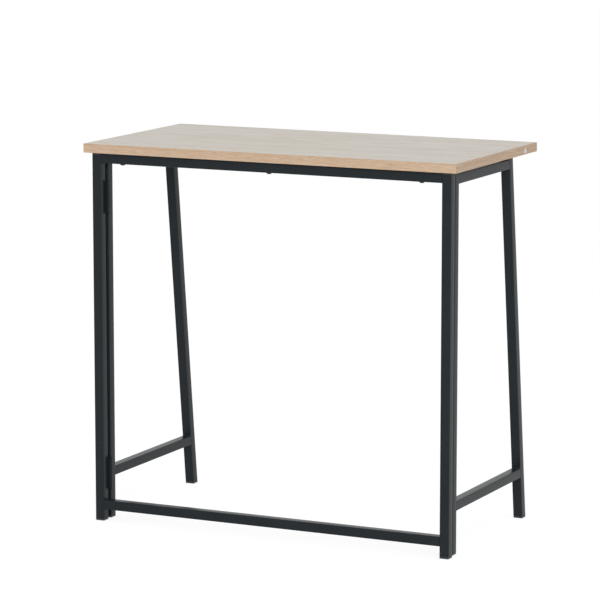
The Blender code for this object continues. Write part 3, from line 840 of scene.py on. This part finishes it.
def butt_hinge(name, hinge, fixed, moving):
    """Two leaves on a pin: the fixed leaf keeps the end knuckles, the moving leaf the middle one."""
    past = hinge["length"] / 2 + OVERCUT
    knuckle_end = hinge["length"] / KNUCKLES / 2
    inner = knuckle_end - LEAF_PLAY / 2
    outer = knuckle_end + LEAF_PLAY / 2
    fixed_leaf = rolled_leaf(f"{name}_{fixed}", hinge, -1, [(-outer, outer)])
    moving_leaf = rolled_leaf(f"{name}_{moving}", hinge, 1, [(-past, -inner), (inner, past)])
    hinge_pin(f"{name}_pin", hinge)
    return fixed_leaf, moving_leaf


print("a hinge has", KNUCKLES, "knuckles")

# %% Side hinges
SIDE_LEAF = 1.5 * MM
LEVELS = ("lower", "upper")
joint_place = {joint["name"]: Vector(joint["pos_m"]) for joint in behaviour["joints"]}


def axes(origin, strip, over, along):
    """A place whose X, Y and Z are a hinge's strip, the side of its moving leaf, and its pin."""
    return Matrix.Translation(origin) @ Matrix((strip, over, along)).transposed().to_4x4()


for side in SIDES:
    outwards = -1.0 if side == "left" else 1.0
    axis = joint_place[f"{side}_side_fold"]
    for level in LEVELS:
        low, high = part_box(f"{side}_{level}_hinge_frame_leaf")
        radius, reach = sorted((axis.x - low.x, high.x - axis.x))
        hinge = {
            "length": high.z - low.z,
            "radius": radius,
            "reach": reach,
            "leaf": SIDE_LEAF,
            "near": radius - LEAF_PLAY - SIDE_LEAF,
            "place": axes((axis.x, axis.y, (low.z + high.z) / 2), (outwards, 0, 0), (0, 1, 0), (0, 0, 1)),
        }
        butt_hinge(f"{side}_{level}_hinge", hinge, "frame_leaf", "side_leaf")
print("4 side hinges, barrels", round(2 * hinge["radius"] / MM, 1), "mm across")

# %% Bolts and screws of the top hinges
BOLT_SOCKET = 4.0 * MM
SOCKET_SIDES = 6
SOCKET_DEPTH = 1.8 * MM
SCREW_HEAD = 6.2 * MM
SCREW = 3.5 * MM
SCREW_TIP = SCREW / 4
SCREW_PLAY = 0.3 * MM
CROSS_LENGTH = 3.4 * MM
CROSS_WIDTH = 0.9 * MM
CROSS_DEPTH = 1.5 * MM
CROSS_TAPER = 0.45


def prism(name, low_ring, high_ring, low, high, place):
    """A straight or tapered solid between two flat rings at two heights."""
    flat_rings = ((low_ring, low), (high_ring, high))
    rings = [[place @ Vector((x, y, z)) for x, y in ring] for ring, z in flat_rings]
    return lofted(name, rings)


def rail_bolt(node, rail_leaf):
    """A button-head bolt up through the rail, with a hexagon socket in its head."""
    low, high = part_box(node)
    middle = (low + high) / 2
    place = Matrix.Translation((middle.x, middle.y, 0.0))
    seat = rail_low.z - BOLT_PLAY
    head = (high.x - low.x) / 2
    profile = [(radius, -height) for radius, height in reversed(dome(head, seat - low.z, -seat))]
    profile += [(BOLT / 2, seat), (BOLT / 2, high.z)]
    bolt = turned(f"{node}_button", profile, place)
    hexagon = arc((0.0, 0.0), BOLT_SOCKET / math.sqrt(3), 0.0, 2 * math.pi, SOCKET_SIDES)[:-1]
    cut(bolt, prism("bolt_socket", hexagon, hexagon, low.z - OVERCUT, low.z + SOCKET_DEPTH, place))
    stand_in(bolt, node)
    hole = [(BOLT_ROOM, rail_high.z - OVERCUT), (BOLT_ROOM, high.z + OVERCUT)]
    cut(rail_leaf, turned("leaf_bolt_hole", hole, place))


def cross(length, width):
    """The outline of a cross with two equal bars."""
    tip = length / 2
    edge = width / 2
    corner = ((tip, -edge), (tip, edge), (edge, edge))
    turns = [Matrix.Rotation(QUARTER * i, 2) for i in range(4)]
    return [tuple(turn @ Vector(point)) for turn in turns for point in corner]


def board_screw(node, board_leaf):
    """A countersunk wood screw with a cross recess, flush with the underside of its leaf."""
    low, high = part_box(node)
    middle = (low + high) / 2
    place = Matrix.Translation((middle.x, middle.y, low.z))
    sink = (SCREW_HEAD - SCREW) / 2
    length = high.z - low.z
    head = [(SCREW_HEAD / 2, 0.0), (SCREW / 2, sink)]
    tip = [(SCREW / 2, length - SCREW), (SCREW_TIP / 2, length)]
    screw = turned(f"{node}_countersunk", head + tip, place)
    wide = cross(CROSS_LENGTH, CROSS_WIDTH)
    narrow = cross(CROSS_LENGTH * CROSS_TAPER, CROSS_WIDTH * CROSS_TAPER)
    cut(screw, prism("cross_recess", wide, narrow, -PIN_PLAY, CROSS_DEPTH, place))
    stand_in(screw, node)
    head_room = SCREW_HEAD / 2 + SCREW_PLAY
    shank_room = SCREW / 2 + SCREW_PLAY
    seat = [(head_room, -OVERCUT), (head_room, 0.0), (shank_room, sink), (shank_room, sink + OVERCUT)]
    cut(board_leaf, turned("screw_seat", seat, place))


print("a bolt head has a socket of", round(BOLT_SOCKET / MM), "mm")

# %% Top hinges
TOP_LEAF = 1.0 * MM
TOP_LEAF_PLAY = 0.3 * MM

axis = joint_place["top_lift"]
for where in WHERE:
    name = f"top_{where}_hinge"
    low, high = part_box(f"{name}_rail_leaf")
    hinge = {
        "length": high.x - low.x,
        "radius": axis.y - low.y,
        "reach": high.y - axis.y,
        "leaf": TOP_LEAF,
        "near": TOP_LEAF_PLAY / 2,
        "place": axes(((low.x + high.x) / 2, axis.y, axis.z), (0, 1, 0), (0, 0, 1), (1, 0, 0)),
    }
    rail_leaf, board_leaf = butt_hinge(name, hinge, "rail_leaf", "board_leaf")
    rail_bolt(f"{name}_bolt", rail_leaf)
    for number in (1, 2):
        board_screw(f"{name}_screw_{number}", board_leaf)
print("3 top hinges,", round(hinge["length"] / MM), "mm long")

# %% [markdown]
# ## White cap
# A small white plug closes a hole in the right edge of the board, near the back corner. A disc would show
# the same from outside, but the real one has a rounded rim and a stem, so it is turned from a profile. It
# sits flush with the edge band.

# %% Edge cap
CAP_RIM = 0.4 * MM
CAP_RIM_STEPS = 4
CAP_THICKNESS = 1.5 * MM
CAP_STEM = 6.0 * MM

low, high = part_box("worktop_edge_cap")
cap_radius = (high.y - low.y) / 2
cap_profile = [(CAP_STEM / 2, low.x - high.x), (CAP_STEM / 2, -CAP_THICKNESS), (cap_radius, -CAP_THICKNESS)]
cap_profile += arc((cap_radius - CAP_RIM, -CAP_RIM), CAP_RIM, 0.0, QUARTER, CAP_RIM_STEPS)
cap_place = axes((high.x, (low.y + high.y) / 2, (low.z + high.z) / 2), (0, 1, 0), (0, 0, 1), (1, 0, 0))
stand_in(turned("worktop_edge_cap_turned", cap_profile, cap_place), "worktop_edge_cap")
print("cap", round(2 * cap_radius / MM, 1), "mm across")

# %% [markdown]
# ## Weld beads
# Rails are welded to posts and legs along their upper and lower faces, and the flush front faces are ground
# flat. Under the coat a bead is a rippled fillet a few millimetres wide that fades out at both ends. A bump
# texture would leave the corner as sharp as before, so the bead is lofted along it, from sections that swell
# and shrink a little, one ripple for each push of the torch.

# %% Bead helpers
BEAD = 2.4 * MM
HINGE_BEAD = 1.4 * MM
BEAD_STEPS = 36
BEAD_ROUND = 6
BEAD_FLATNESS = 0.16
BEAD_RIPPLE = 1.3 * MM
BEAD_RIPPLE_SIZE = 0.10
BEAD_TAPER = 0.35
BEAD_SINK = 0.15 * MM
# The first and last sections lie this part of the run inside its ends, so that they keep a size.
BEAD_MARGIN = 0.02
ALONG_X = Vector((1, 0, 0))
ALONG_Y = Vector((0, 1, 0))
ALONG_Z = Vector((0, 0, 1))


def bead(bm, start, end, along_a, along_b, size):
    """A bead from start to end in the corner between two faces, which leave it along two directions."""
    run = end - start
    ripples = run.length / BEAD_RIPPLE
    corner = (along_a + along_b) * BEAD_SINK
    rings = []
    for i in range(BEAD_STEPS + 1):
        part = BEAD_MARGIN + (1 - 2 * BEAD_MARGIN) * i / BEAD_STEPS
        swell = math.sin(math.pi * part) ** BEAD_TAPER
        width = size * swell * (1 + BEAD_RIPPLE_SIZE * math.sin(2 * math.pi * ripples * part))
        foot = start + run * part - corner
        ring = [foot]
        for j in range(BEAD_ROUND + 1):
            turn = QUARTER * j / BEAD_ROUND
            reach = width * (1 - BEAD_FLATNESS * math.sin(2 * turn))
            ring.append(foot + (along_a * math.cos(turn) + along_b * math.sin(turn)) * reach)
        rings.append(ring)
    loft(bm, rings)


def hinge_beads(bm, side, leaf, post, face_way):
    """Beads at both ends of a side's two leaves, on the back (1) or front (-1) face of their post."""
    post_low, post_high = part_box(post)
    post_face = post_high.y if face_way > 0 else post_low.y
    for level in LEVELS:
        low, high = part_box(f"{side}_{level}_hinge_{leaf}")
        for height, face in ((low.z, -1), (high.z, 1)):
            start = Vector((max(low.x, post_low.x) + TUBE_CORNER, post_face, height))
            end = Vector((min(high.x, post_high.x) - TUBE_CORNER, post_face, height))
            bead(bm, start, end, ALONG_Z * face, ALONG_Y * face_way, HINGE_BEAD)


def beads_on(body, bm):
    """Sets the beads of one body on it, as a piece of their own."""
    piece = as_piece(bm, f"{body}_welds")
    piece.data.materials.append(powder_coat)
    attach(piece, body)


print("a bead is", BEAD / MM, "mm wide")

# %% Beads of the main frame
bm = bmesh.new()
for node, faces in (("main_top_rail", (-1,)), ("main_bottom_rail", (-1, 1))):
    low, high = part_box(node)
    for side, away in (("left", 1), ("right", -1)):
        for face in faces:
            height = low.z if face < 0 else high.z
            start = Vector((post_inner[side], low.y + TUBE_CORNER, height))
            end = Vector((post_inner[side], high.y - TUBE_CORNER, height))
            bead(bm, start, end, ALONG_X * away, ALONG_Z * face, BEAD)
for side in SIDES:
    hinge_beads(bm, side, "frame_leaf", f"main_post_{side}", 1)
beads_on("main_frame", bm)
print("main frame: 6 rail beads and 8 hinge beads")

# %% Beads of the side frames
LEG_WAY = Vector((0, LEG_SLOPE, 1)).normalized()
for side in SIDES:
    bm = bmesh.new()
    post_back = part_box(f"{side}_side_post")[1].y
    for kind, post_faces in (("top", (-1,)), ("lower", (-1, 1))):
        low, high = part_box(f"{side}_side_{kind}_rail")
        for face in (-1, 1):
            height = low.z if face < 0 else high.z
            start = Vector((low.x + TUBE_CORNER, leg_front(height), height))
            end = Vector((high.x - TUBE_CORNER, leg_front(height), height))
            bead(bm, start, end, -ALONG_Y, LEG_WAY * face, BEAD)
            if face in post_faces:
                start.y = end.y = post_back
                bead(bm, start, end, ALONG_Y, ALONG_Z * face, BEAD)
    hinge_beads(bm, side, "side_leaf", f"{side}_side_post", -1)
    beads_on(f"{side}_side_frame", bm)
print("each side frame: 7 rail beads and 4 hinge beads")
